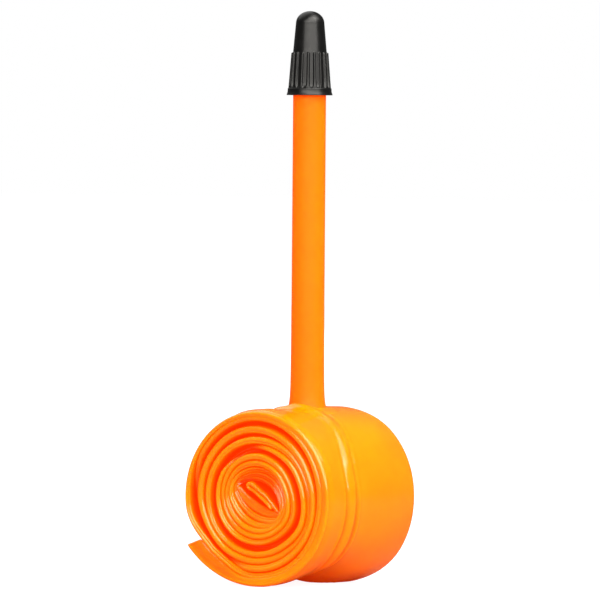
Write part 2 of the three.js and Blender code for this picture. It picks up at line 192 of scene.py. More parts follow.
def strand_path():
    """Points, turns and unit outward normals along the whole strand, from the inner end to the tail's tip."""
    turns = np.arange(START_TURN, TAIL_TIP_TURN, TURN_STEP)
    laps = lap_point(turns)
    inner = spline(TONGUE + [tuple(laps[0]), tuple(laps[4])], TONGUE_POINTS + 10)[:-10]
    points = np.vstack([inner, laps])
    turns = np.concatenate([np.linspace(START_TURN - 1, START_TURN, len(inner), endpoint=False), turns])
    along = np.gradient(points, axis=0)
    along /= np.linalg.norm(along, axis=1)[:, None]
    normals = np.stack([-along[:, 1], along[:, 0]], axis=1)
    return points, turns, normals


def lap_room(points, turns, way):
    """The distance from each point of the strand to the lap outside it, or inside it where way is -1."""
    room = np.full(len(points), ROOM_IN_TONGUE)
    other = turns + way
    there = (turns >= START_TURN) & (other >= START_TURN) & (other <= TAIL_TIP_TURN)
    room[there] = np.linalg.norm(lap_point(other[there]) - points[there], axis=1)
    if way > 0:
        room[other > TAIL_TIP_TURN] = ROOM_OUTSIDE
    each_way = 6
    averaged = 2 * each_way + 1
    return np.convolve(np.pad(room, each_way, mode="edge"), np.full(averaged, 1 / averaged), mode="valid")


# ---------------------------------------------------------------- meshes


def new_object(name, vertices, faces):
    """A smooth-shaded mesh object from vertices in millimetres, with every face turned outwards."""
    mesh = bpy.data.meshes.new(name)
    mesh.from_pydata([tuple(v) for v in np.asarray(vertices) * MM], [], [tuple(map(int, f)) for f in faces])
    mesh.validate()
    mesh.update()
    obj = bpy.data.objects.new(name, mesh)
    bpy.context.scene.collection.objects.link(obj)
    mesh.polygons.foreach_set("use_smooth", [True] * len(mesh.polygons))
    turn_faces_outwards(obj)
    return obj


def grid_faces(rows, columns, close_rows=False, first=0):
    """Quads between neighbouring rows of points, each row a loop. close_rows joins the last to the first."""
    r = np.arange(rows if close_rows else rows - 1)
    c = np.arange(columns)
    r, c = (a.ravel() for a in np.meshgrid(r, c, indexing="ij"))
    r2, c2 = (r + 1) % rows, (c + 1) % columns
    return first + np.stack([r * columns + c, r2 * columns + c, r2 * columns + c2, r * columns + c2], axis=1)


def turn_faces_outwards(obj):
    bm = bmesh.new()
    bm.from_mesh(obj.data)
    bmesh.ops.recalc_face_normals(bm, faces=bm.faces)
    bm.to_mesh(obj.data)
    bm.free()


def add_attribute(obj, name, values):
    attribute = obj.data.attributes.new(name, "FLOAT", "POINT")
    attribute.data.foreach_set("value", np.asarray(values, np.float32))


# ---------------------------------------------------------------- the rolled tube

CREASE_WIDTH = 0.32
CREASE_SPACING = 2.6
EDGE_POINTS = 21
NECK_END = 1.8  # how far behind the edge the strand reaches its full thickness
THINNEST_EDGE = 0.14
THICKEST_EDGE = 0.66
EDGE_SHARE = 0.465  # of the room between two laps' middle lines; the rest of one half is the groove
BODY_SHARE = 0.49
TAIL_WEDGE_TURN = 11.41  # from here on the lifted tail stands off the lap it leaves


def degrees_past_top(turn):
    """How far the outermost lap has gone clockwise from the top of the roll."""
    return 360 * (turn - TOP_TURN)


def crease_y(turn):
    """Where the first of two creases runs round the drum, swinging towards the spiral face on the right."""
    past_top = degrees_past_top(turn)
    share = 0.43 - 0.2 * window(past_top, 76, 122, 64) - 0.08 * smooth(past_top, 130, 190)
    return FRONT_Y + ROLL_LENGTH * share


def crease_strength(turn):
    """How strongly the creases show: from nothing at the top to full strength on the lower right."""
    past_top = degrees_past_top(turn)
    return window(past_top, 25, 190, 40) * (0.28 + 1.1 * smooth(past_top, 72, 112))


def crease_depth(y, turn):
    """The depth of the two creases, in millimetres."""
    off = y - crease_y(turn)
    creases = 0.34 * bump(off, 0.0, CREASE_WIDTH) + 0.42 * bump(off, CREASE_SPACING, CREASE_WIDTH)
    return crease_strength(turn) * creases


def drum_rise(y, turn):
    """How far the outside of the outermost lap stands off its plain surface, in millimetres."""
    depth = y - FRONT_Y
    past_top = degrees_past_top(turn)
    crease = crease_y(turn)
    off = y - crease
    on_the_right = window(past_top, 25, 160, 30)
    ridges = 0.26 * bump(off, 1.4, 0.8) + 0.14 * bump(off, -0.7, 0.4) + 0.12 * bump(off, 3.3, 0.45)
    creased = crease_strength(turn) * ridges - crease_depth(y, turn)
    # over the top a fold runs on from the creases, and behind it the drum is a little wider
    fold = 0.42 * bump(off, 0.4, 0.9) * window(past_top, -12, 25, 25)
    step = 0.12 * smooth(off, -0.3, 1.3) * window(past_top, 0, 60, 40) + 0.12 * smooth(off, -0.5, 2.0)
    # left of the stem the film stands up in a crest and a shoulder
    crest = 0.35 * window(past_top, -38, -20, 14) * smooth(depth, 0.8, 3.5)
    shoulder = 0.42 * window(past_top, -26, -4, 14) * bump(depth, 5.2, 2.8)
    # the part behind the creases is rounded like a barrel
    along = np.clip((y - crease) / (BACK_Y - crease), 0, 1)
    barrel = (0.2 + 0.55 * window(past_top, 62, 120, 50)) * np.sin(math.pi * along) ** 0.8
    back_swell = 0.4 * window(past_top, 45, 125, 40) * smooth(depth, 10, 24)
    # the edges are drawn in: softly in front on the right, by a narrow neck elsewhere, and at the back
    soft_edge = -0.45 * on_the_right * (1 - smooth(depth, 0, 2.8))
    neck = -0.16 * bump(depth, 1.75, 0.55) * (1 - on_the_right)
    rim = -0.6 * smooth(y, BACK_Y - 1.7, BACK_Y - 0.1) ** 2
    return creased + fold + step + crest + shoulder + barrel + back_swell + soft_edge + neck + rim


def waist(y, turn):
    """How far the laps are drawn in under the roll, each a little less than the one outside it."""
    past_top = degrees_past_top(turn) % 360
    drawn = window(past_top, 160, 190, 45) * smooth(turn, 5.5, 11.3)
    return 1.9 * drawn * bump(y - FRONT_Y, 0.42 * ROLL_LENGTH, 5.4)


def over_lens(turn):
    """Towards 1 where the innermost laps arch over the lens, stand back and show their two films apart."""
    arch = np.maximum(0.0, np.cos(np.radians(FIRST_NORMAL - 360 * turn - 75)))
    return smooth(turn, START_TURN, START_TURN + 0.15) * (1 - smooth(turn, 2.5, 4.4)) * arch


def front_recess(turn):
    """How far a lap's front edge lies behind the roll's front face."""
    sunk_lap = 2.0 * smooth(turn, 5.74, 5.88) * (1 - smooth(turn, 6.84, 6.97))
    crescent_on_the_left = 1.9 * smooth(turn, 9.43, 9.54) * (1 - smooth(turn, 9.62, 9.77))
    inner = 0.3 * (1 - smooth(turn, 1.6, 3.2)) + 0.5 * window(turn, 0.3, 0.82, 0.12)
    wave = 0.14 * np.sin(TAU * 1.37 * turn) + 0.1 * np.sin(TAU * 0.61 * turn + 1.3)
    outer = -0.15 * smooth(turn, 10.3, 10.9)
    whole = 0.16 + sunk_lap + crescent_on_the_left + inner + 0.65 * over_lens(turn) + wave + outer
    return np.maximum(0.0, whole)


def back_recess(turn):
    """How far a lap's back edge lies in front of the roll's back face."""
    wave = 0.3 * np.sin(TAU * 0.43 * turn + 0.8) + 0.22 * np.sin(TAU * 1.21 * turn)
    return np.maximum(0.0, 0.35 + wave) * (1 - smooth(turn, 10.6, 11.0)) + 0.02


def tuck(turn):
    """How far a lap's front edge is drawn inwards from the surface behind it."""
    return 1.55 * smooth(turn, 10.42, 10.53) * (1 - smooth(turn, 10.56, 10.65))


def packing(turn):
    """How much thicker the tongue and the innermost lap are deep inside, where they lie together."""
    if turn < START_TURN:
        return 0.35
    across_lens = np.abs(np.sin(np.radians(FIRST_NORMAL - 360 * turn - LENS_TILT)))
    return 1.4 * smooth(across_lens, 0.6, 0.95) * (1 - smooth(turn, 1.2, START_TURN + 1))


def deep_inside(depth, length):
    """0 near the strand's two edges and 1 well away from both."""
    return smooth(np.minimum(depth, length - depth), 4.5, 9.0)


def half_thickness(depth, bead, body):
    """The strand's thickness on one side: a round edge, a slight neck, then as much as fills the roll."""
    return bead + (body - bead) * smooth(depth, 0.6, NECK_END) - 0.03 * bump(depth, 0.9, 0.3)


def edge_profile(outer, inner, turn):
    """A round edge between the strand's outer and inner side, pinched where its two films meet."""
    angle = np.linspace(-math.pi / 2, math.pi / 2, EDGE_POINTS)
    across = np.where(angle > 0, outer, inner) * np.sin(angle)
    width = min(0.55, 0.5 * (outer + inner) + 0.1)
    pinch = 0.2 * (0.55 + 0.45 * math.sin(TAU * 0.77 * turn + 1.0)) + 0.35 * over_lens(turn)
    pinch *= min(1.0, outer + inner)
    seam = -0.3 * inner
    depth = width * (1 - np.cos(angle)) + pinch * np.exp(-((across - seam) / 0.13) ** 2)
    return depth, across


def section(turn, room_out, room_in, side_count, skin):
    """One section across the strand: y, distance outwards, and whether each point is on the outer side.

    The points go along the front edge, the outer side, the back edge and the inner side.
    """
    front = FRONT_Y + front_recess(turn)
    back = BACK_Y - back_recess(turn)
    bead_out = float(np.clip(EDGE_SHARE * room_out, THINNEST_EDGE, THICKEST_EDGE))
    bead_in = float(np.clip(EDGE_SHARE * room_in, THINNEST_EDGE, THICKEST_EDGE))
    # past the top the outermost lap's edge is broad and lies against the next lap
    broad = smooth(turn, 10.74, 10.9)
    bead_in += broad * (min(1.35, 0.85 * room_in) - bead_in)
    # the tail's front fills the wedge between it and the lap it leaves
    wedge = smooth(turn, TAIL_WEDGE_TURN, TAIL_WEDGE_TURN + 0.05)
    bead_in += wedge * max(0.0, room_in + tuck(turn - 1) - 0.55 - bead_in)
    # the innermost lap's front leans in under the tongue
    bead_in += 0.9 * max(0.0, 1 - ((turn - 0.5) / 0.1) ** 2)
    body_out, body_in = BODY_SHARE * room_out, BODY_SHARE * room_in
    if skin:
        body_out = min(body_out, bead_out)
    depth, across = edge_profile(bead_out, bead_in, turn)
    length = back - front
    side = np.linspace(depth[-1], length - depth[-1], side_count)[1:-1]
    few = side[:: -max(1, side_count // 12)]
    outer = half_thickness(np.minimum(side, length - side), bead_out, body_out)
    inner = -half_thickness(np.minimum(few, length - few), bead_in, body_in)
    if skin:
        outer = outer + drum_rise(front + side, turn)
    if turn < START_TURN:
        outer = outer + packing(turn) * deep_inside(side, length)
    inner = inner - packing(turn) * deep_inside(few, length)
    y = front + np.concatenate([depth, side, length - depth[::-1], few])
    n = np.concatenate([across, outer, across[::-1], inner])
    drawn_in = waist(y, turn) + tuck(turn) * (1 - smooth(y - front, 0.3, 3.2))
    return y, n - drawn_in, n > 0


def sweep_strand(name, first, last, side_count, skin):
    """The closed strand between two turns, thinned to a fold at its free end, the tail where skin is true."""
    points, turns, normals = strand_path()
    keep = (turns >= first) & (turns <= last)
    room_out = lap_room(points, turns, 1)[keep]
    room_in = lap_room(points, turns, -1)[keep]
    points, turns, normals = points[keep], turns[keep], normals[keep]
    rows, painted_shade = [], []
    for point, turn, normal, out, inn in zip(points, turns, normals, room_out, room_in):
        if skin:
            share = 0.5 + 0.5 * math.sqrt(min(1.0, (last - turn) / 0.006))
        else:
            share = 0.25 + 0.75 * math.sqrt(min(1.0, (turn - first) / 0.05))
        y, n, outside = section(turn, out * share, inn * share, side_count, skin)
        slant = 0.4 * smooth(turn, TAIL_TIP_TURN - 0.04, TAIL_TIP_TURN) * np.minimum(n, 0)
        ahead = np.array([normal[1], -normal[0]])
        across = point[None, :] + n[:, None] * normal[None, :] + slant[:, None] * ahead[None, :]
        height = np.maximum(0.0, ROLL_CENTRE_Z + across[:, 1])  # flat where it rests
        rows.append(np.stack([across[:, 0], y, height], axis=1))
        # painted shade: the film's colour turns deep red the deeper between the laps it lies, on the inner
        # side under the lifted tail, and along the drum's creases
        sunk = np.clip((np.minimum(y - FRONT_Y, BACK_Y - y) - 0.05) / 2.6, 0, 1)
        shade_under_tail = 0.3 * smooth(turn, TAIL_WEDGE_TURN + 0.01, TAIL_WEDGE_TURN + 0.09) * (n < -0.2)
        shade_in_creases = 0.8 * crease_depth(y, turn)
        painted_shade.append(np.where(skin & outside, shade_in_creases, np.maximum(sunk, shade_under_tail)))
    rows = np.array(rows)
    count, width = rows.shape[:2]
    faces = list(grid_faces(count, width))
    faces.append(tuple(range(width))[::-1])
    faces.append(tuple(range((count - 1) * width, count * width)))
    obj = new_object(name, rows.reshape(-1, 3), faces)
    # the "depth" attribute carries this painted shade to the film material
    add_attribute(obj, "depth", np.array(painted_shade).ravel())
    return obj


def join(objects, name):
    """Several objects made into the first of them."""
    bpy.ops.object.select_all(action="DESELECT")
    for obj in objects:
        obj.select_set(True)
    bpy.context.view_layer.objects.active = objects[0]
    bpy.ops.object.join()
    objects[0].name = name
    objects[0].data.name = name
    return objects[0]


def build_tube():
    """The whole strand, with a finer mesh on the outermost lap, whose outer side is the drum."""
    split, lap_over = 10.3, 0.004
    inner = sweep_strand("inner_laps", START_TURN - 1, split + lap_over, side_count=14, skin=False)
    outer = sweep_strand("outer_lap", split - lap_over, TAIL_TIP_TURN, side_count=140, skin=True)
    return join([inner, outer], "rolled_tube")


# ---------------------------------------------------------------- turned pieces


def dense(profile, step):
    """A profile of (radius, z) points with no stretch longer than step."""
    out = [profile[0]]
    for (r0, z0), (r1, z1) in zip(profile, profile[1:]):
        count = max(1, int(math.ceil(math.hypot(r1 - r0, z1 - z0) / step)))
        for i in range(1, count + 1):
            out.append((r0 + (r1 - r0) * i / count, z0 + (z1 - z0) * i / count))
    return out


def arc(centre_r, centre_z, radius_r, radius_z, start, end, count):
    """Points of an elliptic arc, by degrees from +r towards +z."""
    return [
        (centre_r + radius_r * math.cos(math.radians(a)), centre_z + radius_z * math.sin(math.radians(a)))
        for a in np.linspace(start, end, count)
    ]


def turned(name, profile, segments=96, change=None, closed=False):
    """A profile turned about the Z axis. change(angle, radius, z, index) returns the radius at each point."""
    pts = np.array(profile, float)
    angle = np.arange(segments) * TAU / segments
    on_axis = [] if closed else [i for i in (0, len(pts) - 1) if pts[i, 0] < 1e-6]
    ring = [i for i in range(len(pts)) if i not in on_axis]
    vertices = []
    for i in ring:
        radius, z = np.full(segments, pts[i, 0]), pts[i, 1]
        if change:
            radius = change(angle, radius, z, i)
        row = [radius * np.cos(angle), radius * np.sin(angle), np.full(segments, z)]
        vertices.append(np.stack(row, axis=1))
    vertices = np.vstack(vertices)
    faces = [tuple(f) for f in grid_faces(len(ring), segments, close_rows=closed)]
    for i in on_axis:
        pole = len(vertices)
        vertices = np.vstack([vertices, [[0, 0, pts[i, 1]]]])
        base = 0 if i == 0 else (len(ring) - 1) * segments
        for k in range(segments):
            a, b = base + k, base + (k + 1) % segments
            faces.append((a, b, pole) if i else (b, a, pole))
    return new_object(name, vertices, faces)


def thread(angle, z, pitch, depth):
    """The rise of a right-handed, rounded V thread above its root."""
    phase = (z / pitch - angle / TAU) % 1.0
    return depth * np.clip(1.35 * (1 - np.abs(2 * phase - 1)) - 0.12, 0, 1)


def sharp_edges(obj, degrees=35):
    """Edges bent more than this stay crisp."""
    bm = bmesh.new()
    bm.from_mesh(obj.data)
    for edge in bm.edges:
        if len(edge.link_faces) == 2 and edge.calc_face_angle(0) > math.radians(degrees):
            edge.smooth = False
    bm.to_mesh(obj.data)
    bm.free()
    return obj


# ---------------------------------------------------------------- the stem

STEM_RADIUS = 3.1
STEM_BORE = 1.9
STEM_CORNER = 0.3
SOCKET_RADIUS = 2.5
SOCKET_Z = cad_span("stem_insert", "z")[0]
SOCKET_GAP = 0.06
STEM_FOOT_Z = 31.6
FLARE_TOP_Z = 52.0
STEM_TOP_Z = cad_span("valve_stem", "z")[1]
PATCH_RADIUS = 6.6
PATCH_RIM = 1.4  # the patch thins out over this width


def build_stem():
    heights = np.linspace(0, FLARE_TOP_Z - STEM_FOOT_Z, 60)
    flare = [
        (STEM_RADIUS + 1.15 * math.exp(-height / 1.35) + 0.16 * math.exp(-height / 9.0), STEM_FOOT_Z + height)
        for height in heights
    ]
    corner_z, socket_z = STEM_TOP_Z - STEM_CORNER, SOCKET_Z - SOCKET_GAP
    profile = (
        [(STEM_BORE, STEM_FOOT_Z)]
        + flare
        + dense([(STEM_RADIUS, FLARE_TOP_Z + 0.5), (STEM_RADIUS, corner_z)], 1.0)
        + arc(STEM_RADIUS - STEM_CORNER, corner_z, STEM_CORNER, STEM_CORNER, 10, 90, 6)
        + [(SOCKET_RADIUS, STEM_TOP_Z), (SOCKET_RADIUS, socket_z), (STEM_BORE, socket_z)]
    )
    return sharp_edges(turned("stem_moulding", profile, 96, closed=True), 50)


def drum_top(x, y):
    """The height of the drum's outside near its top, at a place."""
    drum_radius, half_lap = 16.0, 0.4
    turn = TOP_TURN + np.arctan2(x, drum_radius) / TAU
    radius = np.linalg.norm(lap_point(turn), axis=-1) + half_lap + drum_rise(y, turn)
    return ROLL_CENTRE_Z + np.sqrt(np.maximum(radius**2 - x**2, 0))


def build_patch():
    """A disc of film that follows the drum, thinning to its rim and lifting round the stem."""
    rings, segments = 26, 72
    angle = np.arange(segments) * TAU / segments
    vertices = []
    for upper in (True, False):
        for radius in np.linspace(STEM_BORE, PATCH_RADIUS, rings):
            x, y = radius * np.cos(angle), radius * np.sin(angle) - 0.2
            lift = 0.2 * (1 - smooth(radius, PATCH_RADIUS - PATCH_RIM, PATCH_RADIUS))
            fillet = 0.55 * math.exp(-max(0.0, radius - STEM_RADIUS) / 0.8)
            z = drum_top(x, y) + (0.03 + lift + fillet if upper else -0.25)
            vertices.append(np.stack([x, y, z], axis=1))
    vertices = np.vstack(vertices)
    top = grid_faces(rings, segments)
    below = grid_faces(rings, segments, first=rings * segments)[:, ::-1]
    faces = [tuple(f) for f in np.vstack([top, below])]
    inner_top, inner_below = 0, rings * segments
    rim_top, rim_below = (rings - 1) * segments, (2 * rings - 1) * segments
    for k in range(segments):
        k2 = (k + 1) % segments
        faces.append((rim_top + k, rim_below + k, rim_below + k2, rim_top + k2))
        faces.append((inner_top + k2, inner_below + k2, inner_below + k, inner_top + k))
    return new_object("stem_patch", vertices, faces)


# ---------------------------------------------------------------- the valve's core

HEAD_PITCH = 0.9
CORE_PITCH = 0.7
PIN_PITCH = 0.5
PIN_HOLE = 0.66  # through the seal and the cup


def build_insert():
    """The sleeve in the stem's top: knurled outside, threaded inside, with a collar."""
    top = cad_span("stem_insert", "z")[1]
    collar_z = top - 0.84
    bore, body, collar = 2.0, 2.44, 2.95
    profile = (
        [(bore, SOCKET_Z), (body, SOCKET_Z)]
        + dense([(body, SOCKET_Z), (body, collar_z)], 0.25)[1:]
        + [(collar, collar_z)]
        + arc(collar - 0.2, top - 0.2, 0.2, 0.2, 0, 90, 5)
        + [(bore + 0.2, top), (bore, top - 0.25)]
        + dense([(bore, top - 0.25), (bore, SOCKET_Z)], 0.12)[1:-1]
    )

    def grooves(angle, radius, z, index):
        knurl = 0.05 * np.cos(24 * angle) * (z < collar_z - 0.01)
        threaded = radius - 0.12 + thread(angle, z, CORE_PITCH, 0.12)
        return np.where(radius < bore + 0.1, threaded, radius - 0.05 + knurl)

    return sharp_edges(turned("stem_sleeve", profile, 96, grooves, closed=True), 40)


def build_core_body():
    """The core: a plain barrel, a thread for the sleeve, and the threaded head with its two flats."""
    bottom, top = cad_span("core_body", "z")
    head, thread_z = top - 5.3, bottom + 12.2
    bore, barrel, threaded, head_radius = 1.05, 1.55, 1.85, 2.6
    flats_z, half_across_flats = top - 1.9, 2.15
    profile = (
        [(bore, bottom), (barrel - 0.25, bottom), (barrel, bottom + 0.5)]
        + dense([(barrel, bottom + 0.5), (barrel, thread_z - 0.3)], 0.8)[1:]
        + dense([(threaded, thread_z), (threaded, head)], 0.11)
        + [(2.28, head + 0.02)]
        + dense([(2.3, head + 0.1), (head_radius, head + 0.25), (head_radius, top - 0.25), (2.3, top)], 0.09)
        + [(1.25, top), (bore, top - 0.2)]
    )

    def cut(angle, radius, z, index):
        if head + 0.15 < z < top - 0.1 and radius[0] > head_radius - 0.2:
            radius = 2.27 + thread(angle, z, HEAD_PITCH, 0.33)
        elif thread_z + 0.2 < z < head - 0.5 and barrel - 0.05 < radius[0] < 2:
            radius = 1.68 + thread(angle, z, CORE_PITCH, 0.17)
        if z > flats_z and radius.max() > 2:
            flat = half_across_flats / np.maximum(np.abs(np.cos(angle)), 1e-3)
            radius = np.minimum(radius, flat)
        return radius

    return sharp_edges(turned("core_turning", profile, 128, cut, closed=True), 38)


def build_gasket():
    low, high = cad_span("core_gasket", "z")
    middle, half = (low + high) / 2, (high - low) / 2
    profile = arc(2.45, middle, 0.1, half, -90, 90, 9) + arc(2.05, middle, 0.13, half, 90, 270, 9)
    return turned("core_washer", profile, 72, closed=True)


def build_pin():
    """The pin: a riveted end, a plain rod and a thread for the nut."""
    bottom, top = cad_span("valve_pin", "z")
    threaded_z, rod, threaded = top - 7.6, 0.6, 0.9
    rivet = [(0, 0), (0.55, 0), (0.85, 0.12), (0.95, 0.3), (0.9, 0.48), (rod, 0.5)]
    profile = (
        [(radius, bottom + height) for radius, height in rivet]
        + dense([(rod, bottom + 0.5), (rod, threaded_z - 0.3)], 1.5)[1:]
        + dense([(threaded, threaded_z), (threaded, top - 0.3)], 0.07)
        + [(0.72, top - 0.1), (0.5, top), (0, top)]
    )

    def cut(angle, radius, z, index):
        if threaded_z + 0.1 < z < top - 0.35 and radius[0] > threaded - 0.1:
            return 0.75 + thread(angle, z, PIN_PITCH, 0.15)
        return radius

    return sharp_edges(turned("pin_turning", profile, 64, cut), 45)


def build_seal():
    low, high = cad_span("pin_seal", "z")
    profile = (
        [(PIN_HOLE, low), (1.3, low)]
        + arc(1.3, low + 0.2, 0.2, 0.2, -60, 0, 4)
        + [(1.5, high - 0.85)]
        + arc(1.0, high - 0.85, 0.5, 0.8, 15, 80, 6)
        + [(0.9, high), (PIN_HOLE, high)]
    )
    return sharp_edges(turned("seal_moulding", profile, 64, closed=True), 50)


def build_cup():
    low, high = cad_span("seal_cup", "z")
    floor = high - 0.3
    profile = (
        [(PIN_HOLE, low), (1.1, low)]
        + arc(1.1, low + 0.3, 0.3, 0.3, -80, 0, 5)
        + [(1.4, high - 0.1), (1.32, high), (1.2, high), (1.15, high - 0.2), (0.8, floor), (PIN_HOLE, floor)]
    )
    return sharp_edges(turned("cup_turning", profile, 64, closed=True), 50)


def build_nut():
    """The nut on the pin, with a coarse knurl round it and a thread inside."""
    low, high = cad_span("lock_nut", "z")
    bore, outside, teeth = 1.05, 2.0, 20
    profile = (
        [(1.2, low), (1.72, low)]
        + dense([(1.72, low), (outside, low + 0.25), (outside, high - 0.3)], 0.1)[1:]
        + arc(outside - 0.3, high - 0.3, 0.3, 0.3, 15, 90, 5)
        + [(1.3, high), (bore, high - 0.25)]
        + dense([(bore, high - 0.25), (bore, low + 0.15)], 0.07)[1:]
    )

    def cut(angle, radius, z, index):
        if radius[0] < bore + 0.05:
            return 0.93 + thread(angle, z, PIN_PITCH, 0.12)
        if low + 0.1 < z < high - 0.25 and radius[0] > outside - 0.2:
            phase = np.abs(((teeth * angle / TAU) % 1.0) * 2 - 1)
            return radius - 0.26 * (1 - smooth(phase, 0.1, 0.65))
        return radius

    return sharp_edges(turned("nut_turning", profile, 160, cut, closed=True), 40)


# ---------------------------------------------------------------- the dust cap

RIB_COUNT = 18
CAP_BOTTOM_Z, CAP_TOP_Z = cad_span("dust_cap", "z")
COLLAR_TOP_Z = CAP_BOTTOM_Z + 1.35
RIB_TOP_Z = CAP_BOTTOM_Z + 8.15
CAP_CONE_TOP_Z = CAP_TOP_Z - 2.3
CAP_DOME_RADIUS = 2.68
CAP_BORE = 2.8
CAP_BORE_BOTTOM_Z = CAP_BOTTOM_Z + 2.7
CAP_BORE_TOP_Z = CAP_BOTTOM_Z + 8.0


def cap_root(z):
    """The cap's radius between its ribs."""
    return np.interp(z, [COLLAR_TOP_Z, RIB_TOP_Z, CAP_CONE_TOP_Z], [3.6, 3.16, CAP_DOME_RADIUS])


def cap_crest(z):
    """The cap's radius over its ribs."""
    return np.interp(z, [COLLAR_TOP_Z, RIB_TOP_Z], [4.0, 3.48])


def build_cap():
    """The cap. Between collar and dome the profile only sets the rows' heights, and cut() their radii."""
    bottom, top = CAP_BOTTOM_Z, CAP_TOP_Z
    outside = (
        [(3.45, bottom), (4.22, bottom)]
        + arc(4.22, bottom + 0.1, 0.1, 0.1, -80, 30, 5)
        + [(4.2, bottom + 0.45), (4.14, bottom + 0.7), (4.12, COLLAR_TOP_Z - 0.2)]
        + arc(3.97, COLLAR_TOP_Z - 0.15, 0.15, 0.15, 0, 80, 4)
        + [(3.95, z) for z in np.linspace(COLLAR_TOP_Z + 0.02, COLLAR_TOP_Z + 1.2, 14)]
        + [(3.9, z) for z in np.linspace(COLLAR_TOP_Z + 1.3, RIB_TOP_Z - 0.45, 22)]
        + [(3.8, z) for z in np.linspace(RIB_TOP_Z - 0.4, RIB_TOP_Z + 0.1, 10)]
        + [(3.1, z) for z in np.linspace(RIB_TOP_Z + 0.25, CAP_CONE_TOP_Z, 18)]
        + arc(0, CAP_CONE_TOP_Z, CAP_DOME_RADIUS, top - CAP_CONE_TOP_Z, 4, 90, 20)[:-1]
        + [(0, top)]
    )
    over_pin_and_nut = [(0, 1.5), (0.9, 1.65), (1.25, 2.2), (1.25, 3.2), (2.2, 4.8), (2.3, 7.2)]
    inside = [(radius, top - depth) for radius, depth in over_pin_and_nut]
    inside += [(CAP_BORE, CAP_BORE_TOP_Z + 0.1)]
    inside += dense([(CAP_BORE, CAP_BORE_TOP_Z), (CAP_BORE, CAP_BORE_BOTTOM_Z)], 0.12)
    inside += [(3.3, CAP_BORE_BOTTOM_Z - 0.5), (3.4, bottom + 0.2)]
    first_rib = len(inside) + next(i for i, (_, z) in enumerate(outside) if z > COLLAR_TOP_Z)

    def cut(angle, radius, z, index):
        if index < len(inside):
            if CAP_BORE_BOTTOM_Z + 0.1 < z < CAP_BORE_TOP_Z - 0.1 and abs(radius[0] - CAP_BORE) < 0.02:
                return CAP_BORE - thread(angle, z, HEAD_PITCH, 0.14)
            return radius
        if index < first_rib or z > CAP_CONE_TOP_Z:
            return radius
        root, crest = cap_root(z), cap_crest(z)
        phase = np.abs(((RIB_COUNT * angle / TAU) % 1.0) * 2 - 1)
        widen = 0.42 * math.exp(-((z - COLLAR_TOP_Z) / 0.55))
        rib = smooth(phase, 0.5 - widen, 0.86 - widen)
        end = 1 - smooth(z, RIB_TOP_Z - 0.28, RIB_TOP_Z - 0.02)
        foot = math.exp(-((z - COLLAR_TOP_Z) / 0.22))
        return root + (crest - root) * np.maximum(rib * end, foot)

    profile = inside + outside
    return sharp_edges(turned("ribbed_cap", profile, RIB_COUNT * 20, cut), 60)


# ---------------------------------------------------------------- materials


class Nodes:
    """Short calls for building one material's node tree."""

    def __init__(self, name):
        self.material = bpy.data.materials.new(name)
        self.material.use_nodes = True
        self.tree = self.material.node_tree
        self.shader = self.tree.nodes["Principled BSDF"]

    def add(self, kind, **settings):
        node = self.tree.nodes.new(kind)
        for key, value in settings.items():
            setattr(node, key, value)
        return node

    def link(self, a, b):
        self.tree.links.new(a, b)

    def set(self, **values):
        for key, value in values.items():
            self.shader.inputs[key.replace("_", " ")].default_value = value

    def coordinates(self, scale=(1, 1, 1)):
        coords = self.add("ShaderNodeTexCoord")
        mapping = self.add("ShaderNodeMapping")
        mapping.inputs["Scale"].default_value = scale
        self.link(coords.outputs["Object"], mapping.inputs["Vector"])
        return mapping.outputs["Vector"]

    def noise(self, scale, detail=3.0, roughness=0.5, stretch=(1, 1, 1)):
        node = self.add("ShaderNodeTexNoise")
        node.inputs["Scale"].default_value = scale
        node.inputs["Detail"].default_value = detail
        node.inputs["Roughness"].default_value = roughness
        self.link(self.coordinates(stretch), node.inputs["Vector"])
        return node.outputs["Fac"]

    def span(self, value, low, high, to_low, to_high):
        node = self.add("ShaderNodeMapRange")
        self.link(value, node.inputs["Value"])
        for key, number in zip(("From Min", "From Max", "To Min", "To Max"), (low, high, to_low, to_high)):
            node.inputs[key].default_value = number
        return node.outputs["Result"]

    def mix(self, factor, a, b):
        node = self.add("ShaderNodeMix", data_type="RGBA")
        self.link(factor, node.inputs["Factor"])
        colour_a, colour_b, result = node.inputs[6], node.inputs[7], node.outputs[2]
        for colour, value in ((colour_a, a), (colour_b, b)):
            if isinstance(value, tuple):
                colour.default_value = (*value, 1)
            else:
                self.link(value, colour)
        return result

    def bump(self, height, strength, distance, normal=None):
        node = self.add("ShaderNodeBump")
        node.inputs["Strength"].default_value = strength
        node.inputs["Distance"].default_value = distance
        self.link(height, node.inputs["Height"])
        if normal:
            self.link(normal, node.inputs["Normal"])
        return node.outputs["Normal"]


